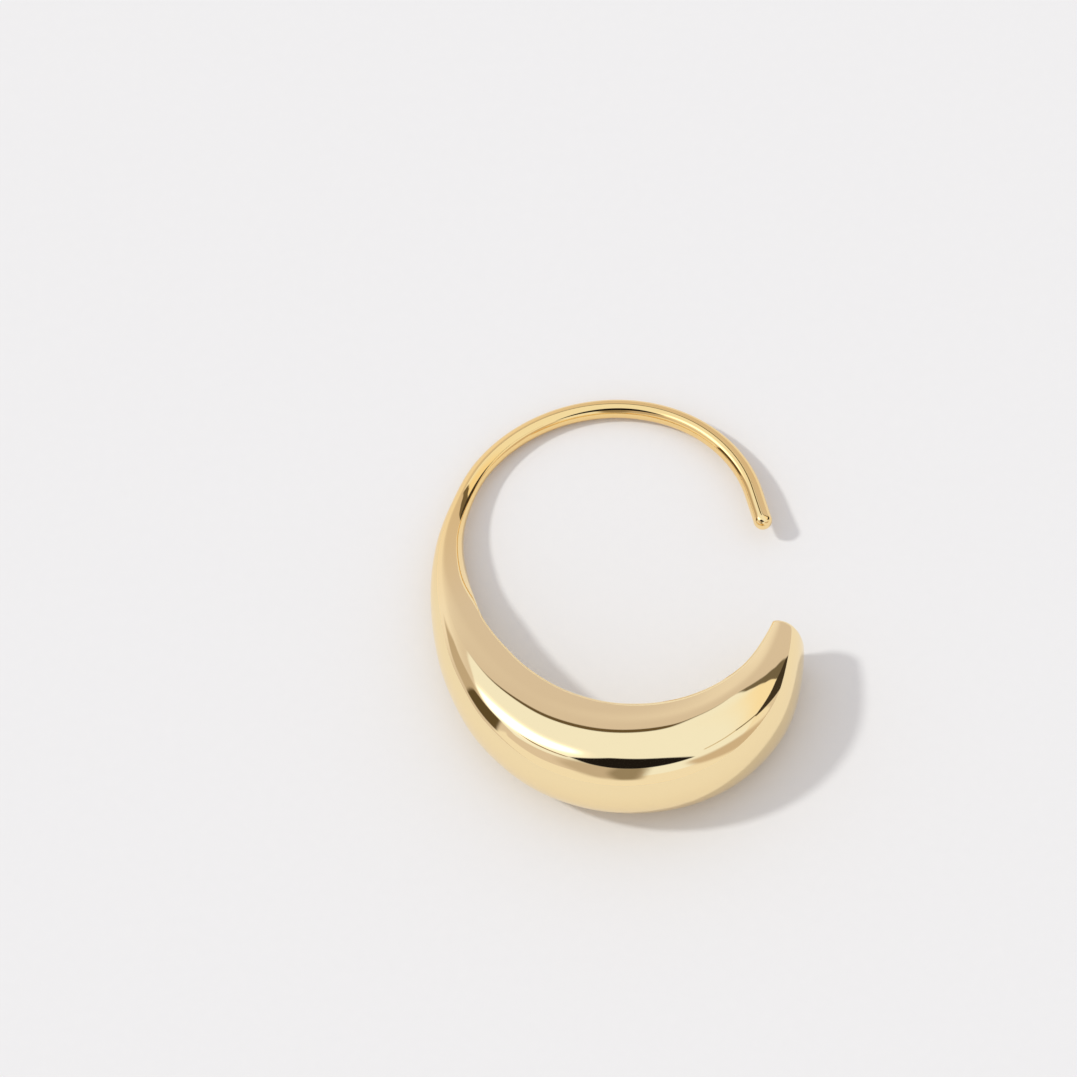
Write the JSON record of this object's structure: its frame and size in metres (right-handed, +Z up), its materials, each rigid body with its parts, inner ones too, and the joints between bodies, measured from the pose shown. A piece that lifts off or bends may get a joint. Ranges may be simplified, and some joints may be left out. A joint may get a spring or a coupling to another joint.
{
  "type": "drop hoop earring",
  "caption": "Open hoop earring lying flat: a polished crescent drop with a blunt end that thins round the hoop into a round ear wire.",
  "frame": {"origin": "middle of the underside of the hoop's box as it lies on a table by itself", "axes": "+Z up from the table, -Y towards the lowest point of the drop, +X towards the blunt end"},
  "size_m": [0.022, 0.0286, 0.0062],
  "materials": {
    "hoop": "mirror-polished pale gold plate"
  },
  "bodies": {
    "root": {"hoop": "hoop"}
  },
  "joints": []
}
